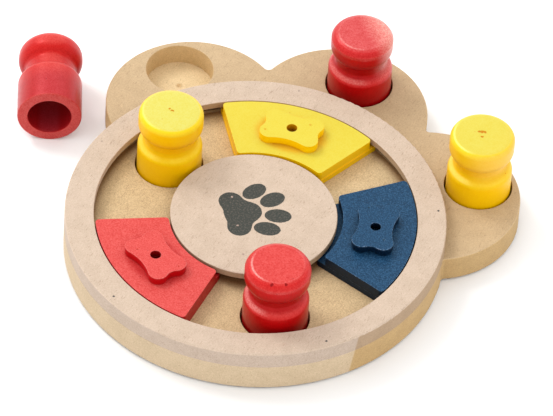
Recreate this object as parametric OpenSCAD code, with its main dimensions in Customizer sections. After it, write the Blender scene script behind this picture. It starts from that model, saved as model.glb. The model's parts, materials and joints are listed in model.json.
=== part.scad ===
// Puzzle feeder for a dog: a paw-shaped board with blind wells, a raised ring and hub that
// leave a round channel between them, three sliders held in that channel, and five turned pegs.
// Units are millimetres. +Z is up and +Y runs from the ring's centre to the middle toe.
// The origin is under the ring's centre, on the surface that the feeder stands on.

/* [Board] */
// Radius of the board's round body, and of the ring glued on it
board_r = 105; // [95:1:125]
// Thickness of the board
board_t = 16; // [15:0.5:22]
// Radius of each toe of the paw
toe_r = 49.5; // [44:0.5:54]
// Angle between neighbouring toes
toe_angle = 46.5; // [44:0.5:52]
// How much farther out the middle toe reaches than the other two
toe_lead = 3; // [0:0.5:6]
// Radius in the valleys between the toes
valley_r = 3; // [2:0.5:6]
// Softening of the sanded edges
edge_r = 0.8; // [0.4:0.1:1.2]

/* [Wells] */
// Gap all round between a peg and its well
well_clear = 1; // [0.5:0.1:1.5]
// Depth of the three wells in the toes
toe_well_depth = 13; // [8:0.5:13.5]
// Depth of the five wells in the channel
channel_well_depth = 11.5; // [6:0.5:12]
// Angle between neighbouring toe wells
toe_well_angle = 46; // [44:0.5:50]
// Board left between the ring's rim and a toe well
rim_gap = 5.5; // [3:0.5:9]
// Board left between a toe well and the toe's tip
toe_wall = 2.8; // [2:0.2:6]
// Radius of the small dimple that the drill's point leaves in a well's floor
dimple_r = 1.2; // [0.6:0.1:2]
// Depth of that dimple
dimple_depth = 1; // [0.5:0.1:1.4]

/* [Ring and hub] */
// Width of the ring's face
ring_w = 16; // [12:0.5:22]
// Clear width of the channel between the ring's lip and the hub's lip
channel_w = 43; // [41:0.5:50]
// Thickness of the lip plates on the ring and the hub
lip_t = 4; // [3:0.5:6]
// Height of the undercut below the lips, which is the spacers' thickness
undercut_h = 6; // [5:0.5:9]
// How far the ring's lip overhangs its spacer
undercut_d = 5; // [4:0.5:8]
// How far the hub's lip overhangs its spacer
hub_undercut_d = 5.5; // [4.5:0.5:8.5]
// How far off centre the hub is glued
hub_shift = 1.3; // [0:0.1:1.5]

/* [Sliders] */
// Angle that a slider covers
slider_angle = 59.2; // [52:0.2:62]
// Thickness of a slider's flange, which runs below the lips
flange_t = 3.9; // [3:0.1:4.5]
// Gap below a slider's flange, in which it glides over the board
glide_gap = 0.1; // [0.05:0.05:0.3]
// Running gap between a slider and the ring's lip, the hub and the spacers
slide_gap = 0.7; // [0.4:0.1:1.2]
// Radius of a slider's corners seen from above
slider_corner_r = 2.2; // [1:0.2:4]
// Place of the yellow slider round the channel, in degrees from +X
yellow_angle = 99.5; // [95:0.5:105]
// Place of the navy slider round the channel
navy_angle = 17.2; // [10:0.2:24]
// Place of the red slider round the channel
red_angle = 241.2; // [235:0.2:247]

/* [Grips] */
// Thickness of the bone-shaped grip
grip_t = 5; // [4:0.5:8]
// Length of the grip
grip_l = 33.6; // [30:0.2:38]
// Width of the grip
grip_w = 22.8; // [20:0.2:26]
// Radius of the grip's four knuckles
knuckle_r = 5.5; // [4.5:0.1:6.5]
// Depth of the waist in the grip's long sides
side_dip = 2; // [1:0.1:3]
// Depth of the dip in the grip's ends
end_dip = 1.5; // [0.8:0.1:2.5]
// How far the grip's centre lies inside the channel's middle line
grip_inset = 1.2; // [0:0.1:3]
// Radius of the scent hole through grip and slider
scent_r = 3; // [2:0.1:4]

/* [Pegs] */
// Radius of a peg's body and head
peg_r = 18; // [15:0.5:18.5]
// Length of a peg
peg_l = 52.5; // [46:0.5:60]
// Radius of the treat hollow, which opens at the peg's foot
hollow_r = 12.2; // [9:0.2:13]
// Depth of the treat hollow
hollow_depth = 28; // [18:0.5:30]
// Height of the peg's straight body
body_h = 26; // [24:0.5:28]
// Depth of the finger groove below the head
groove_depth = 4; // [2:0.2:4.5]
// Radius of the groove's hollow
groove_r = 3.5; // [3:0.1:4]
// Radius of the shoulder below the groove
shoulder_r = 4.5; // [3:0.1:5]
// Radius under the head
chin_r = 4.5; // [2:0.1:5]
// Softening of a yellow head's top edge
yellow_crown_r = 3; // [1:0.2:6]
// Softening of a red head's top edge
red_crown_r = 5; // [1:0.2:7]

/* [Loose peg] */
// Distance from the board's rim to the middle of the loose peg's foot
loose_gap = 35.1; // [32:0.1:60]
// Place of that foot round the board, in degrees from +X
loose_angle = 172; // [168:0.5:176]
// Direction from the loose peg's foot to its head, in degrees from +X
loose_dir = 117.3; // [110:0.1:125]

/* [Pads and brads] */
// Thickness of the anti-slip pads
pad_t = 1; // [0.6:0.1:3]
// Radius of the anti-slip pads
pad_r = 7; // [4:0.5:9]
// Distance from the board's rim to the middle of the two pads away from the toes
pad_inset = 20; // [14:1:26]
// Radius of a brad
brad_r = 0.6; // [0.4:0.05:0.9]
// Gap round a brad in its hole
brad_clear = 0.05; // [0.02:0.01:0.1]
// Length of the brads in the ring and the hub
plate_brad_l = 18; // [14:0.5:20]
// Length of the brads in the grips
grip_brad_l = 12; // [9:0.5:13]
// Distance from the ring's rim to its brads
brad_inset = 4.3; // [3:0.1:6]
// Distance from the hub spacer's rim to the outermost of the hub's brads
hub_brad_inset = 9.3; // [6:0.1:12]
// Distance between the hub's brads
hub_brad_pitch = 22; // [16:0.5:24]

/* [Hidden] */
$fn = 96;
over = 1;                                  // how far a cutter stands past the face it cuts
toe_side = [1, 0, -1];                     // left, middle and right toe, counted from +Y
well_count = 5;
channel_angle = 360 / well_count;
board_top = pad_t + board_t;
lip_z = board_top + undercut_h;
deck_z = lip_z + lip_t;                    // top of the ring, the hub and the sliders
lip_r = board_r - ring_w;                  // clear radius inside the ring's lip
hub_r = lip_r - channel_w;
channel_r = (lip_r + hub_r) / 2;
well_r = peg_r + well_clear;
toe_well_r = board_r + rim_gap + well_r;   // reach of the toe wells from the ring's centre
toe_reach = toe_well_r + well_r + toe_wall - toe_r;
seam_r = 0.25;                             // softening of the board's rim at the ring's seam
valley_bite = 0.1;                         // how deep a valley's arc runs into the discs beside it

slider_in = hub_r + hub_shift + slide_gap;
slider_out = lip_r - slide_gap;
ring_spacer_in = lip_r + undercut_d;
hub_spacer_out = hub_r - hub_undercut_d;
flange_in = hub_spacer_out + hub_shift + slide_gap;
flange_out = ring_spacer_in - slide_gap;
flange_z = board_top + glide_gap;
slider_top_t = deck_z - flange_z - flange_t;
grip_reach = channel_r - grip_inset;
knuckle_x = grip_w / 2 - knuckle_r;
knuckle_y = grip_l / 2 - knuckle_r;
brad_drift = 2.4;                          // grip brads sit this far along from the knuckles

neck_x = peg_r - groove_depth + groove_r;  // centre of the groove's hollow
shoulder_x = peg_r - shoulder_r;
chin_x = peg_r - chin_r;
neck_z = body_h + rise(shoulder_r + groove_r, neck_x - shoulder_x);
chin_z = neck_z + rise(chin_r + groove_r, neck_x - chin_x);

ring_brad_r = board_r - brad_inset;
ring_brad_angle = 31;                      // place of the first of the ring's brads
hub_brad_count = 3;
hub_brad_angle = -76;                      // place of the hub's outermost brad
hub_brad_row_angle = 125;                  // from there along the row of the hub's brads
pad_angle = 42;                            // from -Y to each of the two pads away from the toes
pad_spots = concat([[0, 0]],
    [for (side = toe_side) toe_well_r * heading(90 + side * toe_well_angle)],
    [for (side = [-1, 1]) (board_r - pad_inset) * heading(-90 + side * pad_angle)]);

pale_board = "#e8d2bd";
tan_board = "#d6b488";
yellow_paint = "#f6e25a";
red_paint = "#ea5a58";
navy_paint = "#3a587a";
steel = "#8d8d8d";
pad_colour = "#5a5a58";

// ---- Geometry helpers ----

function heading(angle) = [cos(angle), sin(angle)];

// Height of a right triangle from its slanted side and its base
function rise(slant, base) = sqrt(slant * slant - base * base);

// Centre of a valley's arc between two discs, on their left; the arc just crosses both discs
function valley_centre(c1, r1, c2, r2) =
    let (gap = norm(c2 - c1), way = (c2 - c1) / gap,
         a = r1 + valley_r - valley_bite, b = r2 + valley_r - valley_bite,
         along = (a * a - b * b + gap * gap) / (2 * gap))
    c1 + along * way + rise(a, along) * [-way[1], way[0]];

// Toes as [centre, radius]
function toe_at(side) =
    (toe_reach + (side == 0 ? toe_lead : 0)) * heading(90 + side * toe_angle);

// Corner bit that softens a square's corner; the corner lies at the origin, the stock at -x, -y
module corner_bit(soft) {
    difference() {
        translate([-soft, -soft]) square(soft + over);
        translate([-soft, -soft]) circle(soft);
    }
}

// Rectangle of a turned profile from x0 to x1, softened at chosen corners
module band(x0, x1, height, out_top = 0, out_low = 0, in_top = 0) {
    difference() {
        translate([x0, 0]) square([x1 - x0, height]);
        if (out_top > 0) translate([x1, height]) corner_bit(out_top);
        if (out_low > 0) translate([x1, 0]) mirror([0, 1]) corner_bit(out_low);
        if (in_top > 0) translate([x0, height]) mirror([1, 0]) corner_bit(in_top);
    }
}

module softened_disc(radius, height, top, low) {
    rotate_extrude() band(0, radius, height, out_top = top, out_low = low);
}

// Cutter for a round hole with a softened mouth at z = 0
module mouth_cutter(radius, depth, soft) {
    rotate_extrude() {
        translate([0, -depth]) square([radius, depth + over]);
        translate([radius, 0]) mirror([1, 0]) intersection() {
            corner_bit(soft);
            translate([-soft, -soft]) square([soft, soft + over]);
        }
    }
}

// Fill between two discs of the board, hollowed to the valley radius
module valley(c1, r1, c2, r2) {
    hollow = valley_centre(c1, r1, c2, r2);
    difference() {
        linear_extrude(board_t) polygon([c1, c2, hollow]);
        translate([hollow[0], hollow[1], board_t]) mouth_cutter(valley_r, board_t + over, edge_r);
        translate([hollow[0], hollow[1], 0]) mirror([0, 0, 1])
            mouth_cutter(valley_r, board_t + over, edge_r);
    }
}

// Slice of a flat ring, centred on +X, with rounded corners
module slice(r_in, r_out, span, corner) {
    half = span / 2;
    difference() {
        ring_sector(r_in, r_out, half);
        for (side = [-1, 1]) {
            slice_corner(r_out - corner, r_out + over, side, half, corner);
            slice_corner(r_in + corner, r_in - over, side, half, corner);
        }
    }
}

// What rounding takes off one corner of a slice; reach is how far out the rounding's centre lies
module slice_corner(reach, past, side, half, corner) {
    turn = side * (half - asin(corner / reach));
    centre = reach * heading(turn);
    outward = side * heading(side * half + 90);
    difference() {
        polygon([centre, centre + (corner + over) * outward,
            past * heading(side * half) + over * outward, past * heading(turn)]);
        translate(centre) circle(corner);
    }
}

module ring_sector(r_in, r_out, half) {
    intersection() {
        difference() {
            circle(r_out);
            circle(r_in);
        }
        polygon([[0, 0], 2 * r_out * heading(-half), 2 * r_out * heading(half)]);
    }
}

// Outline of the bone-shaped grip, long side along Y
module bone_outline() {
    side_r = hollow_reach(knuckle_y, knuckle_x, grip_w / 2 - side_dip, side_dip);
    end_r = hollow_reach(knuckle_x, knuckle_y, grip_l / 2 - end_dip, end_dip);
    difference() {
        union() {
            for (x = [-1, 1]) for (y = [-1, 1])
                translate([x * knuckle_x, y * knuckle_y]) circle(knuckle_r);
            polygon([[side_r, 0], [knuckle_x, knuckle_y], [0, end_r], [-knuckle_x, knuckle_y],
                [-side_r, 0], [-knuckle_x, -knuckle_y], [0, -end_r], [knuckle_x, -knuckle_y]]);
        }
        for (x = [-1, 1]) translate([x * side_r, 0]) circle(side_r - grip_w / 2 + side_dip);
        for (y = [-1, 1]) translate([0, y * end_r]) circle(end_r - grip_l / 2 + end_dip);
    }
}

// Distance from the grip's centre to the centre of the circle that hollows one side and
// touches both knuckles there
function hollow_reach(across, along, waist, dip) =
    (across * across + along * along - pow(waist - knuckle_r, 2)) / (2 * dip);

// Half section of a peg, foot at y = 0
module peg_section(crown_r) {
    difference() {
        union() {
            band(0, peg_r, body_h, out_low = edge_r);
            translate([shoulder_x, body_h]) circle(shoulder_r);
            difference() {
                polygon([[0, body_h], [shoulder_x, body_h], [neck_x, neck_z],
                    [chin_x, chin_z], [0, chin_z]]);
                translate([neck_x, neck_z]) circle(groove_r);
            }
            translate([chin_x, chin_z]) circle(chin_r);
            translate([0, chin_z]) band(0, peg_r, peg_l - chin_z, out_top = crown_r);
        }
        translate([0, -over]) square([hollow_r, hollow_depth + over]);
    }
}

module peg(crown_r) {
    rotate_extrude() peg_section(crown_r);
}

module brad(length) {
    translate([0, 0, -length]) cylinder(r = brad_r, h = length);
}

module brad_hole(length) {
    translate([0, 0, -length]) cylinder(r = brad_r + brad_clear, h = length + over);
}

// ---- Places ----

module at_toe_wells() {
    for (side = toe_side) {
        spot = toe_well_r * heading(90 + side * toe_well_angle);
        translate([spot[0], spot[1], board_top]) children();
    }
}

module at_channel_wells() {
    for (i = [0 : well_count - 1]) at_channel_well(i) children();
}

module at_channel_well(i) {
    spot = channel_r * heading(90 + i * channel_angle);
    translate([spot[0], spot[1], board_top]) children();
}

module at_ring_brads() {
    for (i = [0 : well_count - 1]) {
        spot = ring_brad_r * heading(ring_brad_angle + i * channel_angle);
        translate([spot[0], spot[1], deck_z]) children();
    }
}

module at_hub_brads() {
    for (i = [0 : hub_brad_count - 1]) {
        spot = (hub_spacer_out - hub_brad_inset) * heading(hub_brad_angle)
            + i * hub_brad_pitch * heading(hub_brad_row_angle);
        translate([spot[0], spot[1], deck_z]) children();
    }
}

module at_hub() {
    translate([-hub_shift, 0, 0]) children();
}

module at_grip_brads() {
    for (side = [-1, 1])
        translate([side * knuckle_x, -side * knuckle_y + brad_drift, grip_t]) children();
}

module at_slider(angle) {
    rotate([0, 0, angle]) children();
}

module at_grip(angle) {
    at_slider(angle) translate([grip_reach, 0, deck_z]) children();
}

// ---- Board, ring and hub ----

module base_board() {
    rim = [[0, 0], board_r];
    color(tan_board) difference() {
        translate([0, 0, pad_t]) {
            softened_disc(board_r, board_t, seam_r, edge_r);
            for (side = toe_side) translate(toe_at(side))
                softened_disc(toe_r, board_t, edge_r, edge_r);
            valley(toe_at(-1), toe_r, rim[0], rim[1]);
            valley(toe_at(0), toe_r, toe_at(-1), toe_r);
            valley(toe_at(1), toe_r, toe_at(0), toe_r);
            valley(rim[0], rim[1], toe_at(1), toe_r);
        }
        at_toe_wells() well(toe_well_depth);
        at_channel_wells() well(channel_well_depth);
        at_ring_brads() brad_hole(plate_brad_l);
        at_hub_brads() brad_hole(plate_brad_l);
    }
}

module well(depth) {
    mouth_cutter(well_r, depth, edge_r / 2);
    translate([0, 0, -depth - dimple_depth])
        cylinder(r1 = 0, r2 = dimple_r, h = dimple_depth);
}

module foot_pads() {
    color(pad_colour) for (spot = pad_spots) translate(spot) cylinder(r = pad_r, h = pad_t);
}

module ring_spacer() {
    color(pale_board) difference() {
        translate([0, 0, board_top]) rotate_extrude() band(ring_spacer_in, board_r, undercut_h);
        at_ring_brads() brad_hole(plate_brad_l);
    }
}

module ring_plate() {
    color(pale_board) difference() {
        translate([0, 0, lip_z]) rotate_extrude()
            band(lip_r, board_r, lip_t, out_top = edge_r, in_top = edge_r / 2);
        at_ring_brads() brad_hole(plate_brad_l);
    }
}

module ring_brads() {
    color(steel) at_ring_brads() brad(plate_brad_l);
}

module hub_spacer() {
    color(pale_board) difference() {
        at_hub() translate([0, 0, board_top]) cylinder(r = hub_spacer_out, h = undercut_h);
        at_hub_brads() brad_hole(plate_brad_l);
    }
}

module hub_plate() {
    color(pale_board) difference() {
        at_hub() translate([0, 0, lip_z]) softened_disc(hub_r, lip_t, edge_r / 2, 0);
        at_hub_brads() brad_hole(plate_brad_l);
    }
}

module hub_brads() {
    color(steel) at_hub_brads() brad(plate_brad_l);
}

// ---- Sliders ----

module slider_flange(angle) {
    difference() {
        at_slider(angle) translate([0, 0, flange_z])
            linear_extrude(flange_t) slice(flange_in, flange_out, slider_angle, slider_corner_r);
        slider_holes(angle);
    }
}

module slider_top(angle) {
    difference() {
        at_slider(angle) translate([0, 0, flange_z + flange_t])
            linear_extrude(slider_top_t) slice(slider_in, slider_out, slider_angle, slider_corner_r);
        slider_holes(angle);
    }
}

module grip(angle) {
    difference() {
        at_grip(angle) linear_extrude(grip_t) bone_outline();
        slider_holes(angle);
    }
}

module grip_brads(angle) {
    at_grip(angle) at_grip_brads() brad(grip_brad_l);
}

// The scent hole and the two brad holes, cut through the grip and both plies
module slider_holes(angle) {
    at_grip(angle) {
        translate([0, 0, board_top - deck_z - over])
            cylinder(r = scent_r, h = deck_z - board_top + grip_t + 2 * over);
        at_grip_brads() brad_hole(grip_brad_l);
    }
}

module yellow_slider_flange() color(yellow_paint) slider_flange(yellow_angle);
module yellow_slider_top() color(yellow_paint) slider_top(yellow_angle);
module yellow_grip() color(yellow_paint) grip(yellow_angle);
module yellow_grip_brads() color(yellow_paint) grip_brads(yellow_angle);

module navy_slider_flange() color(navy_paint) slider_flange(navy_angle);
module navy_slider_top() color(navy_paint) slider_top(navy_angle);
module navy_grip() color(navy_paint) grip(navy_angle);
module navy_grip_brads() color(navy_paint) grip_brads(navy_angle);

module red_slider_flange() color(red_paint) slider_flange(red_angle);
module red_slider_top() color(red_paint) slider_top(red_angle);
module red_grip() color(red_paint) grip(red_angle);
module red_grip_brads() color(red_paint) grip_brads(red_angle);

// ---- Pegs ----

module channel_peg(i, crown_r) {
    at_channel_well(i) translate([0, 0, -channel_well_depth]) peg(crown_r);
}

module toe_peg(side, crown_r) {
    spot = toe_well_r * heading(90 + side * toe_well_angle);
    translate([spot[0], spot[1], board_top - toe_well_depth]) peg(crown_r);
}

module yellow_channel_peg() color(yellow_paint) channel_peg(1, yellow_crown_r);
module red_channel_peg() color(red_paint) channel_peg(3, red_crown_r);
module yellow_toe_peg() color(yellow_paint) toe_peg(-1, yellow_crown_r);
module red_toe_peg() color(red_paint) toe_peg(0, red_crown_r);

module red_loose_peg() {
    spot = (board_r + loose_gap) * heading(loose_angle);
    color(red_paint) translate([spot[0], spot[1], peg_r]) rotate([0, 0, loose_dir])
        rotate([0, 90, 0]) peg(red_crown_r);
}

base_board();
foot_pads();
ring_spacer();
ring_plate();
ring_brads();
hub_spacer();
hub_plate();
hub_brads();
yellow_slider_flange();
yellow_slider_top();
yellow_grip();
yellow_grip_brads();
navy_slider_flange();
navy_slider_top();
navy_grip();
navy_grip_brads();
red_slider_flange();
red_slider_top();
red_grip();
red_grip_brads();
yellow_channel_peg();
yellow_toe_peg();
red_channel_peg();
red_toe_peg();
red_loose_peg();
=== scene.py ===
import json
import math

import bmesh
import bpy
from mathutils import Matrix, Vector


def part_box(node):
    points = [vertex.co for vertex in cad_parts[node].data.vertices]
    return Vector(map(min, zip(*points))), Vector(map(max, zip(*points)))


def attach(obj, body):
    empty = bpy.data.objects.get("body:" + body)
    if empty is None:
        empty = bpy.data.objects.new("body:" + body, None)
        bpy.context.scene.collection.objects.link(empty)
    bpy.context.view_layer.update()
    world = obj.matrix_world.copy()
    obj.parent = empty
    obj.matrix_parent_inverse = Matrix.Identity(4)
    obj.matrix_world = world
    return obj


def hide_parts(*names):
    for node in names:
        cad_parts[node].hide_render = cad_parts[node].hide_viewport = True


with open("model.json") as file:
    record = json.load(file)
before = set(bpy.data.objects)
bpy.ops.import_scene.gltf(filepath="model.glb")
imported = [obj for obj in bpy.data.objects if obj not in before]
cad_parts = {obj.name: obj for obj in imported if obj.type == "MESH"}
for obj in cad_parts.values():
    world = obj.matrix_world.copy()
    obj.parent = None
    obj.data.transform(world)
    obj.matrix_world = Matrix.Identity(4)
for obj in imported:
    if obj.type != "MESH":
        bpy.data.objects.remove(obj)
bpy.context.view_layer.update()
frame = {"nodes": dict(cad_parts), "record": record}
nodes = frame["nodes"]


# ---- Camera ----
# A long lens looks down at the feeder from its near side, turned a little to the right of the
# paw's axis and leaning slightly, with the ring near the middle of the frame.

view_turn = math.radians(24)
view_down = math.radians(45.61)
view_lean = math.radians(3.81)
view_reach = 3.338                      # from the ring's centre to the lens
view_aim = Vector((0, 0, 0.027))        # the ring's centre, on its top face
view_off = (0.01127, 0.00365)           # the frame's middle lies this far right of it and above it
view_lens = 396.2

ahead = Vector((-math.sin(view_turn) * math.cos(view_down),
                math.cos(view_turn) * math.cos(view_down), -math.sin(view_down)))
level = Vector((math.cos(view_turn), math.sin(view_turn), 0))
raised = level.cross(ahead)
right = math.cos(view_lean) * level + math.sin(view_lean) * raised
top = math.cos(view_lean) * raised - math.sin(view_lean) * level

camera = bpy.data.objects.new("camera", bpy.data.cameras.new("camera"))
camera.data.lens = view_lens
camera.data.sensor_width = 36
camera.data.clip_end = 20
camera.matrix_world = Matrix((right, top, -ahead)).transposed().to_4x4()
camera.location = view_aim - view_reach * ahead + view_off[0] * right + view_off[1] * top
bpy.context.scene.collection.objects.link(camera)
bpy.context.scene.camera = camera


# ---- Base board ----
# One 16 mm medium-density fibreboard, routed to the outline of a paw and drilled with eight
# blind wells. Its faces are calendered smooth, and every cut through it shows a paler core.

board_face = (0.485, 0.345, 0.195)
board_channel = (0.575, 0.415, 0.225)   # the sliders keep the channel's floor clean
board_milled = (0.503, 0.330, 0.141)    # its cut edges, and the darker, warmer tone on the right side
board_side_pale = (0.580, 0.445, 0.290)    # the paler tone of the outer edge along the front and the left
board_well = (0.710, 0.535, 0.302)      # floors of the wells
board_bored = (0.640, 0.455, 0.225)     # walls of the wells
channel_shade_tint = (0.43, 0.30, 0.18)         # tint of the painted shade in the channel's corners
lip_shade_reach = (0.0852, 0.0915)             # from where to where the painted shade thickens under the ring's lip
hub_shade_reach = (0.0425, 0.0500)             # and from where to where it thins out from the hub's
channel_rim = 0.092                     # between the channel's floor and the faces outside the ring
face_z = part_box("base_board")[1].z
face_skin = (0.0010, 0.0004)            # how far below the face the wells' tone begins
spare_well = frame["record"]["mounts"][1]["pos_m"]      # the toe well that stands empty
well_reach = (0.021, 0.022)             # a little more than a well's radius
drill_reach = (0.0010, 0.0026)          # flat and rim of the dimple that the drill left in the well
# Tint that darkens the well's floor in the dimple
dimple_tint = (0.80, 0.74, 0.66)
face_fuzz = 0.12                        # how much fluff stands up on the faces
channel_fuzz = 0.45                     # and how much more in the channel, scraped by the sliders
side_line_way = (0.537, 0.843, -0.19)      # across the sharp, slanted line low on the right where the edge turns darker
side_line_stop = -0.0027                   # how far along that way the line lies
side_line_start = 0.024                    # and the height on Y above which the edge keeps the darker tone, beside the first toe
# What shows in bare board: lumps as sizes, and their shades as tints of the board's colour
cloud_size = 0.0085
grain_size = 0.0010
dust_size = 0.0006
fluff_size = 0.0008
strand_size = 0.0007
strand_ways = (0.4, 1.5, 2.6)           # three ways in which strands lie, in radians
strand_stretch = 0.2                    # a strand is five times as long as thick
bark_spacing = 0.006
bark_size = 0.00035
nap_size = 0.0009
nap_height = 0.00005
mottled = (0.78, 0.76, 0.72)
fluff_dark = (0.72, 0.68, 0.62)
fluff_light = (1.22, 1.24, 1.26)
strand_light = (1.12, 1.12, 1.12)
strand_dark = (0.78, 0.74, 0.70)
bark_dark = (0.50, 0.44, 0.40)
# Tint of the painted highlight along the boards' rounded edges
arris_highlight = (1.14, 1.14, 1.14)


class Wire:
    """A number or a colour on its way through a material; sums on it add Math nodes."""

    def __init__(self, finish, socket):
        self.finish = finish
        self.socket = socket

    def maths(self, operation, *others):
        """Result of one Math node on this value and others."""
        return self.finish.add("Math", {"operation": operation}, dict(enumerate((self, *others))))

    def __add__(self, other):
        return self.maths("ADD", other)

    def __sub__(self, other):
        return self.maths("SUBTRACT", other)

    def __mul__(self, other):
        return self.maths("MULTIPLY", other)

    def __rsub__(self, other):
        return self.finish.add("Math", {"operation": "SUBTRACT"}, {0: other, 1: self})

    __radd__ = __add__
    __rmul__ = __mul__

    def rise(self, low, high, start=0.0, end=1.0):
        """Goes smoothly from start to end as this value goes from low to high."""
        return self.finish.add("MapRange", {"interpolation_type": "SMOOTHSTEP"},
                               {"Value": self, "From Min": low, "From Max": high,
                                "To Min": start, "To Max": end})

    def fall(self, low, high, start=1.0):
        """Goes smoothly from start to nothing as this value goes from low to high."""
        return self.rise(low, high, start, 0)

    def near(self, middle, inner, outer, share=1.0):
        """Is share up to inner away from a middle value, and nothing from outer on."""
        return (self - middle).maths("ABSOLUTE").fall(inner, outer, share)


class Finish:
    """A material under construction, with its coordinates and its nodes."""

    def __init__(self, name):
        self.material = bpy.data.materials.new(name)
        self.material.use_nodes = True
        self.tree = self.material.node_tree
        self.tree.nodes.clear()
        self.place = self.add("TexCoord", output="Object")
        self.up = self.part(self.add("TexCoord", output="Normal"), 2)

    def add(self, kind, settings=None, sockets=None, output=0):
        """One node: its settings are set first, then the values or the links of its sockets."""
        node = self.tree.nodes.new("ShaderNode" + kind)
        for key, value in (settings or {}).items():
            setattr(node, key, value)
        for key, value in (sockets or {}).items():
            if isinstance(value, Wire):
                self.tree.links.new(value.socket, node.inputs[key])
            elif isinstance(value, tuple) and node.inputs[key].type == "RGBA":
                node.inputs[key].default_value = (*value, 1)
            else:
                node.inputs[key].default_value = value
        return Wire(self, node.outputs[output]) if node.outputs else None

    def part(self, vector, axis):
        """X, Y or Z of a vector, by its number."""
        return self.add("SeparateXYZ", {}, {0: vector}, output=axis)

    def around(self, centre, turn=0.0, size=(1, 1, 1), tilt=0.0):
        """Coordinates from a centre, tilted about Y, turned about Z and measured in sizes."""
        return self.add("Mapping", {"vector_type": "TEXTURE"},
                        {"Vector": self.place, "Location": centre, "Rotation": (0, tilt, turn),
                         "Scale": size})

    def reach(self, vector):
        """Distance from the upright axis of a set of coordinates."""
        flat = self.add("VectorMath", {"operation": "MULTIPLY"}, {0: vector, 1: (1, 1, 0)})
        return self.add("VectorMath", {"operation": "LENGTH"}, {0: flat}, output="Value")

    def noise(self, size, detail=2, rough=0.5, place=None):
        """Noise whose lumps are about size metres across."""
        return self.add("TexNoise", {}, {"Vector": place or self.place, "Scale": 1 / size,
                                         "Detail": detail, "Roughness": rough})

    def specks(self, spacing, reach, share):
        """Round specks, one to a cell of the spacing, kept only on a share of the surface."""
        cells = self.add("TexVoronoi", {}, {"Vector": self.place, "Scale": 1 / spacing})
        kept = self.noise(2.7 * spacing, 0).rise(0.62 - 0.25 * share, 0.66 - 0.25 * share)
        return cells.fall(0.5 * reach / spacing, reach / spacing) * kept

    def blend(self, share, under, over):
        """Colour that goes from under to over as share goes from 0 to 1."""
        return self.add("Mix", {"data_type": "RGBA"}, {"Factor": share, 6: under, 7: over}, output=2)

    def tint(self, share, colour, by):
        """Colour multiplied by another where share is 1."""
        return self.add("Mix", {"data_type": "RGBA", "blend_type": "MULTIPLY"},
                        {"Factor": share, 6: colour, 7: by}, output=2)

    def close(self, colour, roughness, height, bump, **plain):
        """Closes the material: colour, roughness and a relief of so many metres."""
        normal = self.add("Bump", {}, {"Height": height, "Distance": bump, "Strength": 1.0})
        shader = self.add("BsdfPrincipled", {}, {
            "Base Color": colour, "Roughness": roughness, "Normal": normal,
            **{key.replace("_", " "): value for key, value in plain.items()}})
        self.add("OutputMaterial", {}, {"Surface": shader})
        return self.material


def fibres(board, tone, fuzz=0.0):
    """Bare fibreboard over a tone: soft clouds, grain, raised fluff, loose strands, bark specks."""
    cloud = board.noise(cloud_size, 3).rise(0.36, 0.66)
    grain = board.noise(grain_size, 3, rough=0.7).rise(0.36, 0.64)
    dust = board.noise(dust_size, 1).rise(0.35, 0.65)
    tone = board.tint(cloud * 0.25 + grain * 0.4 + dust * 0.35, tone, mottled)
    fluff = board.noise(fluff_size, 2, rough=0.6)
    tone = board.tint(fluff.fall(0.35, 0.50) * fuzz, tone, fluff_dark)
    tone = board.tint(fluff.rise(0.50, 0.65) * fuzz, tone, fluff_light)
    strands = []
    for way in strand_ways:
        lying = board.add("Mapping", {}, {"Vector": board.place, "Rotation": (0, 0, way),
                                          "Scale": (1, strand_stretch, 1)})
        strands.append(board.noise(strand_size, 1, place=lying))
    tone = board.tint(strands[0].rise(0.66, 0.75), tone, strand_light)
    tone = board.tint(strands[1].rise(0.66, 0.76) + strands[2].rise(0.68, 0.76), tone, strand_dark)
    return board.tint(board.specks(bark_spacing, bark_size, 0.55), tone, bark_dark)


def side_tone(board, milled, pale_tone):
    """Colour of an outer edge: paler along the front and the left, darker everywhere else."""
    along = board.add("VectorMath", {"operation": "DOT_PRODUCT"},
                      {0: board.place, 1: side_line_way}, output="Value")
    before = along.fall(side_line_stop - 0.0007, side_line_stop + 0.0007)
    below = board.part(board.place, 1).fall(side_line_start - 0.002, side_line_start + 0.002)
    return board.blend(before * below, milled, pale_tone)


def napped(board, tone):
    """Closes a fibreboard's material from its colour, with the nap that sanding leaves."""
    nap = board.noise(nap_size, 3, rough=0.65)
    return board.close(tone, nap.rise(0.2, 0.8, 0.62, 0.78), nap, nap_height)


def bare(board, face, side, fuzz=0.0):
    """Closes a fibreboard's material from the colours of its face and its sides, with a painted
    highlight along its rounded edges.
    """
    arris = board.up.rise(0.12, 0.45) * board.up.fall(0.75, 0.97)
    tone = board.tint(arris * 0.8, board.blend(board.up.rise(0.35, 0.75), side, face), arris_highlight)
    return napped(board, fibres(board, tone, fuzz))


def coat(name, material):
    """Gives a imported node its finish."""
    nodes[name].data.materials.clear()
    nodes[name].data.materials.append(material)


board = Finish("tan_fibreboard")
reach = board.reach(board.place)
from_well = board.reach(board.around(spare_well))
inside = reach.fall(channel_rim - 0.0005, channel_rim + 0.0005)
sunk = board.part(board.place, 2).fall(*(face_z - depth for depth in face_skin))
face = board.blend(sunk, board.blend(inside, board_face, board_channel), board_well)
# Painted shade: the channel's floor is darkened under the ring's lip and next to the hub's edge.
face = board.tint(reach.rise(*lip_shade_reach) * inside + reach.fall(*hub_shade_reach), face, channel_shade_tint)
face = board.tint(from_well.fall(*drill_reach), face, dimple_tint)
bored = from_well.fall(*well_reach).maths("MAXIMUM", inside)
side = board.blend(bored, side_tone(board, board_milled, board_side_pale), board_bored)
coat("base_board", bare(board, face, side, inside * channel_fuzz + face_fuzz))


# ---- Foot pads ----
# Six round anti-slip pads of grey foam rubber, stuck under the board. They lift it a millimetre,
# which leaves a thin line of shadow all along its lower edge.

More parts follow.
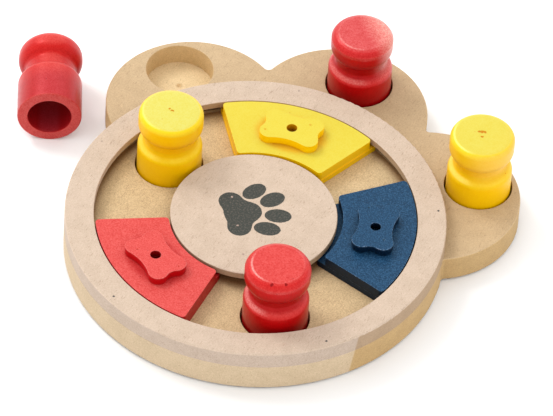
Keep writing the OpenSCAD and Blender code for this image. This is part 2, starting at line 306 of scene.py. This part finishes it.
pad_grey = (0.085, 0.085, 0.082)
pad_dull = 0.85
pore_shade = (0.6, 0.6, 0.6)
pore_size = 0.0006
pore_depth = 0.0001

pad = Finish("pad_rubber")
pores = pad.noise(pore_size)
tone = pad.tint(pores.rise(0.3, 0.7), pad_grey, pore_shade)
coat("foot_pads", pad.close(tone, pad_dull, pores, pore_depth))


# ---- Ring ----
# Two rings of thin, paler board glued on the base: a spacer and, above it, a wider plate whose
# inner lip keeps the sliders down. Five headless brads hold them, flush with the top face.

ring_face = (0.515, 0.400, 0.308)
ring_side_pale = (0.500, 0.390, 0.310)
ring_milled = (0.400, 0.275, 0.170)
scorch_and_shade = (0.130, 0.075, 0.038)      # inner edges of the spacers, burnt by the laser and darkened further as painted shade under the lips
spacer_middle = 0.099                   # between the spacer's dark inner edge, burnt and painted as shade, and its outer one
brad_steel = (0.038, 0.034, 0.030)
brad_putty = (0.330, 0.250, 0.190)      # wood filler over the brads nearest the empty well
putty_left = -0.010                     # those brads lie left of this
putty_up = 0.0                          # and further up than this
putty_blur = 0.002
brad_dull = 0.5
brad_grain = 0.0004
brad_relief = 0.00002

pale = Finish("pale_fibreboard")
coat("ring_plate", bare(pale, ring_face, side_tone(pale, ring_milled, ring_side_pale)))

spacer = Finish("spacer_fibreboard")
outer = spacer.reach(spacer.place).rise(spacer_middle - 0.001, spacer_middle + 0.001)
side = spacer.blend(outer, scorch_and_shade, side_tone(spacer, ring_milled, ring_side_pale))
coat("ring_spacer", bare(spacer, ring_face, side))

steel = Finish("brad_steel")
grain = steel.noise(brad_grain)
left = steel.part(steel.place, 0).fall(putty_left - putty_blur, putty_left + putty_blur)
filled = left * steel.part(steel.place, 1).rise(putty_up - putty_blur, putty_up + putty_blur)
tone = steel.blend(filled, brad_steel, brad_putty)
coat("ring_brads", steel.close(tone, brad_dull, grain, brad_relief))


# ---- Hub ----
# A spacer and a wider round plate of the same pale board in the ring's middle, held by three
# brads. Its face carries a paw print in dark grey ink, printed before the brads went in.

print_spot = (-0.0020, 0.0021, 0)       # middle of the print on the hub's face
print_turn = math.radians(41)           # from +X to the way the toes point
print_ink = (0.016, 0.019, 0.013)
# Toes of the print as (along, across, half length, half width, splay in degrees), in millimetres
print_toes = [(3.6, 14.6, 7.4, 5.0, 25), (11.8, 6.3, 7.4, 5.1, 18),
              (11.8, -6.3, 7.4, 5.1, -18), (3.6, -14.6, 7.4, 5.0, -25)]
# Heel of the print as (along, across, radius) of four lobes that run into one another
print_heel = [(-11.0, 10.2, 6.6), (-11.0, -10.2, 6.6), (-3.0, 0, 6.9), (-8.3, 0, 8.6)]
heel_melt = 7.0                         # how softly the lobes run together
millimetre = 0.001
ink_edge = 0.25                         # how far the ink's edge wavers, in millimetres
ink_blur = 0.12                         # and half the width over which it fades
ink_wave = 0.0011                       # length of those waves
ink_wear = 0.18                         # share of the ink lost where the fibres stand up
hub_brad_tone = (0.42, 0.30, 0.24)
hub_brad_spots = (0.55, 0.50, 0.50)

hub = Finish("printed_fibreboard")
page = hub.around(print_spot, print_turn, (millimetre,) * 3)
waver = (hub.noise(ink_wave, 2) - 0.5) * (2 * ink_edge)


def from_spot(along, across, turn=0.0, size=(1, 1, 1)):
    """Distance from a spot on the print, in sizes."""
    return hub.reach(hub.add("Mapping", {"vector_type": "TEXTURE"}, {
        "Vector": page, "Location": (along, across, 0), "Rotation": (0, 0, math.radians(turn)),
        "Scale": size}))


ink = None
for along, across, long, wide, splay in print_toes:
    out = (from_spot(along, across, splay, (long, wide, 1)) - 1) * wide
    ink = out if ink is None else ink.maths("MINIMUM", out)
heel = None
for along, across, radius in print_heel:
    out = from_spot(along, across) - radius
    heel = out if heel is None else heel.maths("SMOOTH_MIN", out, heel_melt)
ink = (ink.maths("MINIMUM", heel) + waver).fall(-ink_blur, ink_blur) * hub.up.rise(0.8, 0.9)
worn = hub.noise(grain_size, 3, rough=0.7).rise(0.45, 0.78)
inked = hub.blend(worn * ink_wear, print_ink, ring_face)
wood = fibres(hub, hub.blend(hub.up.rise(0.35, 0.75), ring_milled, ring_face))
coat("hub_plate", napped(hub, hub.blend(ink, wood, inked)))

# The hub's spacer sits under its plate; its edges are painted dark, as burnt board and as painted
# shade.
hub_spacer_shade = Finish("scorched_and_shaded_fibreboard")
coat("hub_spacer", bare(hub_spacer_shade, ring_face, scorch_and_shade))

nail = Finish("hub_brad")
grain = nail.noise(brad_grain)
tone = nail.tint(grain.rise(0.4, 0.6), hub_brad_tone, hub_brad_spots)
coat("hub_brads", nail.close(tone, brad_dull, grain, brad_relief))


# ---- Sliders ----
# Each slider is a narrow flange with a thicker plate glued on it, sawn as a slice of the channel
# and painted all over. The paint is satin, and the saw's sharp edges are rubbed down first.

# Paint as lit and shaded copies: (face that looks up, painted paler as lit; rounded edge, a painted
# highlight; upright face, painted deeper as shade; tint of its shine)
paints_lit_and_shaded = {
    "yellow": ((0.55, 0.458, 0.052), (0.72, 0.430, 0.001), (0.86, 0.515, 0.000), (1, 0.85, 0.03)),
    "navy": ((0.006, 0.037, 0.088), (0.110, 0.260, 0.440), (0.0003, 0.006, 0.020), (0.2, 0.4, 0.6)),
    "red": ((0.54, 0.067, 0.059), (0.70, 0.170, 0.150), (0.40, 0.001, 0.003), (1, 0.15, 0.15)),
}
# Painted shade: darker, warmer paint on the flange's faces under the lips and on the plate round
# the foot of the grip
paint_in_shade = {"yellow": (0.58, 0.255, 0.002), "navy": (0.005, 0.028, 0.065), "red": (0.40, 0.012, 0.014)}
# Tints of the grain where the paint lies thick and where it lies thin, and the share of its clouds
grains = {"yellow": ((0.99, 0.955, 0.80), (1.01, 1.02, 1.15), 0.6),
          "navy": ((0.48, 0.52, 0.56), (3.50, 1.90, 1.60), 0.25),
          "red": ((0.88, 0.66, 0.66), (1.04, 1.40, 1.40), 0.45)}
# Tints of torn and pitted paint, and of the seam between a slider's plies: a dark joint on the navy
# and red ones, a painted highlight along the flange's top edge on the yellow one
torn_paint = {"yellow": (0.85, 0.36, 0.02), "navy": (9, 3.8, 2.4), "red": (0.42, 0.12, 0.16)}
seam_tint_and_highlight = {"yellow": (1.30, 1.25, 1.10), "navy": (0.35, 0.30, 0.30), "red": (0.90, 0.80, 0.80)}
bore_shade = (0.60, 0.45, 0.50)
brad_cap = (0.95, 0.74, 0.60)           # tint of the paint over a brad's head
slider_gloss = 0.42                     # roughness of the paint in the middle
peel_size = 0.0016                      # lumps of the paint's skin
paint_grain = 0.0008
blotch_size = 0.0045
pit_spacing = 0.0055
pit_size = 0.0004
film_relief = 0.00005
edge_soft = 0.0005                      # how far the edges are rubbed down
scent_r = 0.003                         # hole through grip and slider that lets the scent out
grip_half = (0.0124, 0.0178, 1)         # half a grip's width and length
deck_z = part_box("ring_plate")[1].z
seam_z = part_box("navy_slider_flange")[1].z


def paint(name, tones, hue, gloss, wear_and_painted_light):
    """Satin paint on smooth board with light and shade painted in: the lit copy on faces that look
    up, the painted highlight on rounded edges and the shaded copy on upright faces. The last argument
    gives the tone its marks and painted light, and says where the paint is torn.
    """
    face, rim, side, shine = tones
    thick, thin, cloudy = grains[hue]
    film = Finish(name)
    # Painted light: shaded copy on upright faces, highlight on rounded edges, lit copy on faces that
    # look up
    tone = film.blend(film.up.rise(0.05, 0.35), side, rim)
    tone, torn = wear_and_painted_light(film, film.blend(film.up.rise(0.82, 0.98), tone, face))
    blotch = film.noise(blotch_size, 3, rough=0.65).rise(0.38, 0.68)
    tone = film.tint(blotch * cloudy, tone, thick)
    fine = film.noise(paint_grain, 2, rough=0.6)
    tone = film.tint(fine.fall(0.36, 0.50), tone, thick)
    tone = film.tint(fine.rise(0.50, 0.64), tone, thin)
    pits = film.specks(pit_spacing, pit_size, 0.35).maths("MAXIMUM", torn)
    tone = film.tint(pits, tone, torn_paint[hue])
    peel = film.noise(peel_size, 2)
    return film.close(tone, peel.rise(0.3, 0.7, gloss - 0.03, gloss + 0.04),
                      peel * 0.6 + fine * 0.2 - pits * 1.5, film_relief, Specular_Tint=shine)


def rub_edges(name):
    """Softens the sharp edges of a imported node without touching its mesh."""
    piece = nodes[name]
    weld = piece.modifiers.new("weld", "WELD")
    weld.merge_threshold = 0.00001
    flat = piece.modifiers.new("flat", "DECIMATE")
    flat.decimate_type = "DISSOLVE"
    flat.angle_limit = math.radians(0.5)
    soft = piece.modifiers.new("soft", "BEVEL")
    soft.width = edge_soft
    soft.segments = 3
    soft.limit_method = "ANGLE"
    soft.angle_limit = math.radians(50)


def slid(hue, spot, turn):
    """Marks and painted light on a slider: painted shade under the lips and round its grip, its
    plies' seam and painted shade in its scent hole.
    """
    def wear_and_painted_light(film, tone):
        high = film.part(film.place, 2)
        # Painted shade on the flange's faces under the lips
        sunk = high.fall(deck_z - 0.0025, deck_z - 0.0020, 0.85) * film.up.rise(0.5, 0.8)
        tone = film.blend(sunk, tone, paint_in_shade[hue])
        from_grip = film.reach(film.around(spot, turn, grip_half))
        # Painted shade round the foot of the grip
        grip_shadow = from_grip.fall(0.90, 1.30, 0.70) * high.fall(deck_z + 0.0005, deck_z + 0.0010)
        tone = film.blend(grip_shadow, tone, paint_in_shade[hue])
        # The seam's tint: a dark joint on navy and red, a painted highlight on yellow
        seam = high.near(seam_z, 0.0004, 0.0009) * film.up.fall(0.90, 0.97)
        tone = film.tint(seam, tone, seam_tint_and_highlight[hue])
        bore = film.reach(film.around(spot)).fall(scent_r, scent_r + 0.0003) * film.up.fall(0.2, 0.4)
        return film.tint(bore, tone, bore_shade), 0.0
    return wear_and_painted_light


def capped(film, tone):
    """Wear of a painted brad's head, which nothing has torn."""
    return film.tint(1.0, tone, brad_cap), 0.0


for hue in paints_lit_and_shaded:
    low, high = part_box(hue + "_grip")
    middle = (low + high) / 2
    wear_and_painted_light = slid(hue, middle, math.atan2(middle.y, middle.x))
    film = paint(hue + "_slider_film", paints_lit_and_shaded[hue], hue, slider_gloss, wear_and_painted_light)
    for name in ("_slider_flange", "_slider_top", "_grip"):
        coat(hue + name, film)
        rub_edges(hue + name)
    coat(hue + "_grip_brads", paint(hue + "_brad_film", paints_lit_and_shaded[hue], hue, slider_gloss, capped))


# ---- Pegs ----
# Turned from one piece on a lathe: a straight body, a round groove for the dog's teeth and a
# head, with a blind hole from below for a treat. All are dipped in the sliders' paint.

peg_r = 0.018
peg_l = 0.0525
hollow_r = 0.0122
hollow_depth = 0.028
neck_r = 0.014
shoulder_round = 0.0045
neck_round = 0.0035
arris = 0.0003
foot_round = 0.0008
crown_bow = 0.34                        # share of a crown's width and height at which its slope bends
crown_soft = 0.3                        # and how softly, as a share of its height
turn_steps = 96
round_steps = 8
loose_way = math.radians(172)           # the loose peg's foot from the ring's centre
loose_foot = 0.1401 * Vector((math.cos(loose_way), math.sin(loose_way)))
loose_turn = math.radians(117.3)
peg_gloss = {"yellow": 0.38, "red": 0.32}
sawn_end = {"yellow": (0.75, 0.53, 0.03), "red": (0.46, 0.060, 0.053)}
hollow_shade = (0.80, 0.62, 0.80)
# The sliders' paint as it lies on the pegs' turned flanks, as copies that paint in light and shade:
# (sloping, painted as a highlight; upright, painted as shade)
turned_paint_lit_and_shaded = {"yellow": ((0.74, 0.46, 0.004), (0.81, 0.465, 0.000)),
                "red": ((0.50, 0.022, 0.020), (0.43, 0.001, 0.002))}
# Paint worn thin, with a painted highlight, a painted reflection on one side, painted shade in the
# groove, the tint low on the body, and a painted highlight on the rims
worn_paint_and_highlight = {"yellow": (0.75, 0.53, 0.03), "red": (0.60, 0.095, 0.085)}
painted_reflection = {"yellow": (0.75, 0.46, 0.08), "red": (0.72, 0.34, 0.28)}
shaded = {"yellow": (0.93, 0.84, 0.40), "red": (0.74, 0.34, 0.40)}
low_tint = {"yellow": (0.98, 1.0, 0.5), "red": (0.72, 0.55, 0.80)}
rim_glint = {"yellow": (0.80, 0.72, 0.22), "red": (0.70, 0.28, 0.25)}
# Depth below the top of the band round the crown, worn thin and with a painted highlight, its
# half width and its share
crown_highlight_band = {"yellow": (0.0018, 0.0022, 0.60), "red": (0.0044, 0.0017, 0.45)}
shoulder_highlight_share = {"yellow": 0.45, "red": 0.11}
shoulder_up = 0.0032                    # the shoulder's rim above the straight body
top_band = 0.0032                       # how far down the tint of the top reaches
groove_foot = (0.0030, 0.0048)          # where the groove's shade begins, above the straight body
groove_top = (-0.0020, 0.0040)          # and where it ends, from the height of the chin
low_end = (0.013, 0.029)                # where the tint low on the body fades out
reflection_start = (0.024, 0.038)           # the painted reflection fades out below this, where the well's edge and the ring hide the side
rub_size = 0.0060                       # length of the patches in which the paint is worn thin
ragged_size = 0.0009                    # and of the rags round a torn spot
# Each peg was turned by hand, so heads and grooves differ. A head has a radius, a crown (width, 0
# for one soft corner, and height) and a chin that starts at a height; then come tints of its paint
# and of its top, where a paler tint paints a highlight; the share of a painted reflection on its
# side and its top and where it comes from; and the share of a painted highlight on the rims and
# where it lies, all directions being in degrees from +X.
plain = {"body_h": 0.0262, "head_r": 0.018, "crown": (0, 0.0036), "chin_z": 0.0428,
         "chin_round": 0.0055, "tint": (1, 1, 1), "top_tint_and_highlight": (1, 1, 1), "shade": 1.0,
         "reflection_share": (0, 0), "reflection_way": 0, "rim_glint": 0.0, "glint_way": 224}
pegs = {
    "yellow_channel_peg": {**plain, "top_tint_and_highlight": (0.97, 1.06, 2.0), "rim_glint": 0.30},
    "yellow_toe_peg": {**plain, "top_tint_and_highlight": (0.98, 1, 1.3), "reflection_share": (0.70, 0.1), "reflection_way": -18,
                       "rim_glint": 0.6},
    "red_channel_peg": {**plain, "crown": (0.0037, 0.0036), "top_tint_and_highlight": (0.97, 0.74, 0.75),
                        "rim_glint": 0.70},
    "red_toe_peg": {**plain, "head_r": 0.0174, "crown": (0.0040, 0.0036), "tint": (0.95, 0.8, 0.9),
                    "top_tint_and_highlight": (0.97, 1.2, 1.2), "reflection_share": (0.8, 0.8), "reflection_way": 48, "rim_glint": 0.45,
                    "glint_way": 257},
    "red_loose_peg": {**plain, "body_h": 0.0244, "crown": (0, 0.0062), "chin_z": 0.0438,
                      "chin_round": 0.007, "tint": (1.0, 0.70, 0.64), "top_tint_and_highlight": (1.1, 2.2, 2.2),
                      "shade": 0.4},
}
# Torn spots on a head as (x, y) from its axis and half width, in metres
torn_spots = {"yellow_channel_peg": [(-0.0016, 0.0010, 0.0008), (-0.0001, 0.0004, 0.0007),
                                     (0.0009, 0.0004, 0.0007)],
              "yellow_toe_peg": [(-0.0027, 0.0011, 0.0010), (-0.0013, 0.0017, 0.0012),
                                 (0.0002, 0.0023, 0.0010), (0.0003, -0.0018, 0.0009)],
              "red_channel_peg": [(0.0037, -0.0150, 0.0010), (0.0102, -0.0112, 0.0009)]}


def flank(edge_r, edge_round):
    """Height and the two setbacks of the S that leads from an edge into the neck."""
    # Its two arcs touch, so the line between their centres is as long as both radii together
    across = neck_r + neck_round - edge_r + edge_round
    slant = neck_round + edge_round
    turn = math.acos(across / slant)
    half = math.tan(turn / 2)
    return slant * math.sin(turn), edge_round * half, neck_round * half


def turned_peg(name, form):
    """Spins a peg's profile about its axis, standing on the origin."""
    head_r, body_h, chin_z, (crown_w, crown_h) = (form[key] for key in (
        "head_r", "body_h", "chin_z", "crown"))
    rise, setback, neck_setback = flank(peg_r, shoulder_round)
    corners = [(0, hollow_depth, 0), (hollow_r, hollow_depth, 0), (hollow_r, 0, arris),
               (peg_r, 0, foot_round), (peg_r, body_h + setback, setback),
               (neck_r, body_h + rise - neck_setback, neck_setback)]
    rise, setback, neck_setback = flank(head_r, form["chin_round"])
    corners += [(neck_r, chin_z - rise + neck_setback, neck_setback),
                (head_r, chin_z - setback, setback)]
    if crown_w:
        corners += [(head_r, peg_l - crown_h, arris),
                    (head_r - crown_bow * crown_w, peg_l - crown_bow * crown_h,
                     crown_soft * crown_h),
                    (head_r - crown_w, peg_l, arris)]
    else:
        corners.append((head_r, peg_l, crown_h))
    corners.append((0, peg_l, 0))
    shape = bmesh.new()
    chain = [shape.verts.new((radius, 0, height)) for radius, height, soft in corners]
    for low, high in zip(chain, chain[1:]):
        shape.edges.new((low, high))
    for vert, (radius, height, soft) in zip(chain, corners):
        if soft:
            bmesh.ops.bevel(shape, geom=[vert], offset=soft, offset_type="OFFSET",
                            affect="VERTICES", segments=round_steps, profile=0.5, material=-1)
    bmesh.ops.spin(shape, geom=shape.verts[:] + shape.edges[:], cent=(0, 0, 0), axis=(0, 0, 1),
                   angle=math.tau, steps=turn_steps, use_merge=True)
    bmesh.ops.remove_doubles(shape, verts=shape.verts[:], dist=0.000001)
    bmesh.ops.recalc_face_normals(shape, faces=shape.faces[:])
    for face in shape.faces:
        face.smooth = True
    mesh = bpy.data.meshes.new(name)
    shape.to_mesh(mesh)
    shape.free()
    mesh.set_sharp_from_angle(angle=math.radians(40))
    piece = bpy.data.objects.new(name, mesh)
    bpy.context.scene.collection.objects.link(piece)
    return piece


def handled(hue, spot, turn, tilt, form, spots):
    """Marks and painted light on a peg: a painted highlight on its rims, shoulder and crown, where
    the paint is also worn thin, painted shade in its groove and hollow, a painted reflection on one
    side, a dusty sawn foot and torn spots.
    """
    body_h, chin_z, (crown_w, crown_h) = form["body_h"], form["chin_z"], form["crown"]
    rim_r = form["head_r"] - (crown_w or 0.6 * crown_h)
    below, wide, share = crown_highlight_band[hue]

    def wear_and_painted_light(film, tone):
        local = film.around(spot, turn, tilt=tilt)
        out = film.reach(local)
        along = film.part(local, 2)
        over_top = along - peg_l

        def towards(way):
            """Distance from the axis to one side."""
            way = math.radians(way)
            return film.part(local, 0) * math.cos(way) + film.part(local, 1) * math.sin(way)

        # The peg's own tints: all over, on its top, where a paler tint paints a highlight, painted
        # shade in its groove, and low on its body
        tone = film.tint(1.0, tone, form["tint"])
        tone = film.tint(over_top.rise(-top_band, 0), tone, form["top_tint_and_highlight"])
        groove = (along - chin_z).fall(*groove_top) * (along - body_h).rise(*groove_foot)
        tone = film.tint(groove * form["shade"], tone, shaded[hue])
        tone = film.tint(along.fall(*low_end), tone, low_tint[hue])

        # Paint worn thin, with a painted highlight, on the shoulder and round the crown
        rub = film.noise(rub_size, 2).rise(0.35, 0.65)
        shoulder = along.near(body_h + shoulder_up, 0.0004, 0.0016)
        crown = over_top.near(-below, 0.25 * wide, wide, share) * film.up.fall(0.85, 0.97)
        thin = shoulder * rub * shoulder_highlight_share[hue] + crown * (rub * 0.5 + 0.5)
        tone = film.blend(thin, tone, worn_paint_and_highlight[hue])

        # A painted reflection and a painted highlight on the rims, each from its own side
        if any(form["reflection_share"]):
            reflected = towards(form["reflection_way"]).rise(0, peg_r) * film.up.rise(0.7, 0.95, *form["reflection_share"])
            tone = film.blend(reflected * along.rise(*reflection_start), tone, painted_reflection[hue])
        # Painted highlight on the crown's rim and the shoulder, strongest towards one side
        if form["rim_glint"]:
            rim = out.near(rim_r, 0.0001, 0.0009) * over_top.rise(-0.0022, -0.0010)
            rim = rim.maths("MAXIMUM", shoulder * 0.6)
            side = towards(form["glint_way"]).rise(0.0080, 0.0140, 0.06, form["rim_glint"])
            tone = film.blend(rim * side, tone, rim_glint[hue])

        # The sawn foot, and the hollow inside it
        foot = along.fall(0.0004, 0.0009) * out.rise(hollow_r, hollow_r + 0.0004)
        tone = film.blend(foot * 0.85, tone, sawn_end[hue])
        deep = out.fall(hollow_r, hollow_r + 0.0003) * along.rise(0.0002, 0.0030)
        deep = deep * along.fall(hollow_depth + 0.001, hollow_depth + 0.002)
        tone = film.tint(deep, tone, hollow_shade)

        # Spots on the head where the paint is torn off
        torn = 0.0
        if spots:
            ragged = film.noise(ragged_size, 3, rough=0.8) - 0.5
            for x, y, half in spots:
                off_spot = film.reach(film.around((spot[0] + x, spot[1] + y, 0)))
                torn = (off_spot + ragged * (2.2 * half)).fall(0.7 * half, half) + torn
            torn = torn * over_top.rise(-0.004, -0.003)
        return tone, torn
    return wear_and_painted_light


for node, form in pegs.items():
    hue = node.split("_")[0]
    piece = turned_peg(node.replace("_peg", "_turned_peg"), form)
    low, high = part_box(node)
    spot, turn, tilt = ((low.x + high.x) / 2, (low.y + high.y) / 2, low.z), 0, 0
    if node == "red_loose_peg":
        spot, turn, tilt = (loose_foot.x, loose_foot.y, peg_r), loose_turn, math.radians(90)
    piece.data.transform(Matrix.Translation(spot) @ Matrix.Rotation(turn, 4, "Z")
                         @ Matrix.Rotation(tilt, 4, "Y"))
    tones = (paints_lit_and_shaded[hue][0], *turned_paint_lit_and_shaded[hue], paints_lit_and_shaded[hue][3])
    wear_and_painted_light = handled(hue, spot, turn, tilt, form, torn_spots.get(node, []))
    piece.data.materials.append(paint(node + "_film", tones, hue, peg_gloss[hue], wear_and_painted_light))
    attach(piece, node)
    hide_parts(node)
    hue + "_paint"


# ---- Floor and light ----
# A white floor that the feeder stands on, painted paler round the loose peg to thin its shadow, one
# wide soft lamp from behind and to the left, as a window gives, and an even white room all round.

floor_size = 6.0
floor_white = (0.81, 0.81, 0.81)
floor_lit_tone = (0.93, 0.93, 0.93)        # painted light: the floor is paler round the loose peg, which thins its shadow
lit_reach = (0.05, 0.11)              # where the patch begins to fade, and where it ends
paper_dull = 0.9
paper_lump = 0.01
paper_relief = 0.00001
lamp_place = Vector((-2.2, 0.5, 2.6))
lamp_size = 1.4
lamp_watts = 48.5
room_light = 1.42

shape = bmesh.new()
bmesh.ops.create_grid(shape, x_segments=1, y_segments=1, size=floor_size / 2)
sheet = bpy.data.meshes.new("floor")
shape.to_mesh(sheet)
shape.free()
floor = bpy.data.objects.new("floor", sheet)
bpy.context.scene.collection.objects.link(floor)
paper = Finish("floor_white")
lit_share = paper.reach(paper.around((*loose_foot, 0))).rise(*lit_reach)
tone = paper.blend(lit_share, floor_lit_tone, floor_white)
floor.data.materials.append(paper.close(tone, paper_dull, paper.noise(paper_lump), paper_relief))

window = bpy.data.lights.new("window", "AREA")
window.shape = "DISK"
window.size = lamp_size
window.energy = lamp_watts
lamp = bpy.data.objects.new("window", window)
lamp.location = lamp_place
lamp.rotation_euler = (view_aim - lamp_place).to_track_quat("-Z", "Y").to_euler()
bpy.context.scene.collection.objects.link(lamp)

room = bpy.data.worlds.new("white_room")
room.use_nodes = True
room.node_tree.nodes["Background"].inputs["Strength"].default_value = room_light
room.node_tree.nodes["Background"].inputs["Color"].default_value = (1, 1, 1, 1)
bpy.context.scene.world = room
bpy.context.scene.view_settings.view_transform = "Standard"
